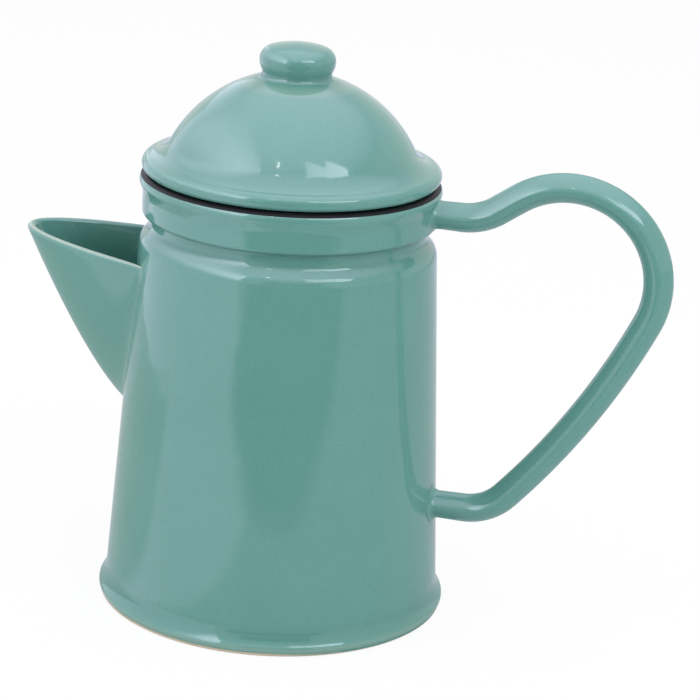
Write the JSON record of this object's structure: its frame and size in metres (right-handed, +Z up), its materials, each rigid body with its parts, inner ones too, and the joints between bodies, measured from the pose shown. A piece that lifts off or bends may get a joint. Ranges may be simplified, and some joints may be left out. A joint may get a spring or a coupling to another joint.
{
  "type": "coffee percolator",
  "caption": "Tapered glazed ceramic coffee percolator with a beak spout, loop handle, domed lid and a lift-out metal pump, basket and spreader.",
  "frame": {"origin": "centre of the foot ring on the table", "axes": "+Z up along the pot's axis, +X towards the handle, -X towards the spout"},
  "size_m": [0.2407, 0.1294, 0.2093],
  "materials": {
    "mint_glaze": "glossy mint-green glaze, paler where it thins over edges",
    "black_glaze": "glossy black glaze",
    "bare_clay": "unglazed, fine-grained cream clay",
    "pump_metal": "drawn aluminium with fine lengthwise lines",
    "basket_metal": "spun aluminium with fine circular lines"
  },
  "bodies": {
    "pot": {"pot_body": "mint_glaze", "spout": "mint_glaze", "handle": "mint_glaze", "rim_band": "black_glaze", "foot_ring": "bare_clay"},
    "pump": {"pump_tube": "pump_metal", "pump_bell": "pump_metal", "valve_retainer": "pump_metal", "tube_stop": "pump_metal"},
    "valve": {"pump_valve": "pump_metal"},
    "basket": {"basket_wall": "basket_metal", "basket_plate": "basket_metal", "basket_sleeve": "basket_metal"},
    "spreader": {"spreader": "basket_metal"},
    "lid": {"lid_dome": "mint_glaze", "lid_knob": "mint_glaze"}
  },
  "joints": [
    {"name": "pump_lift", "type": "slide", "parent": "pot", "child": "pump", "axis": [0, 0, 1], "range_m": [0, 0.16]},
    {"name": "valve_float", "type": "slide", "parent": "pump", "child": "valve", "axis": [0, 0, 1], "range_m": [0, 0.003]},
    {"name": "basket_lift", "type": "slide", "parent": "pump", "child": "basket", "axis": [0, 0, 1], "range_m": [0, 0.08]},
    {"name": "spreader_lift", "type": "slide", "parent": "basket", "child": "spreader", "axis": [0, 0, 1], "range_m": [0, 0.035]},
    {"name": "lid_lift", "type": "slide", "parent": "spreader", "child": "lid", "axis": [0, 0, 1], "range_m": [0, 0.06]}
  ]
}
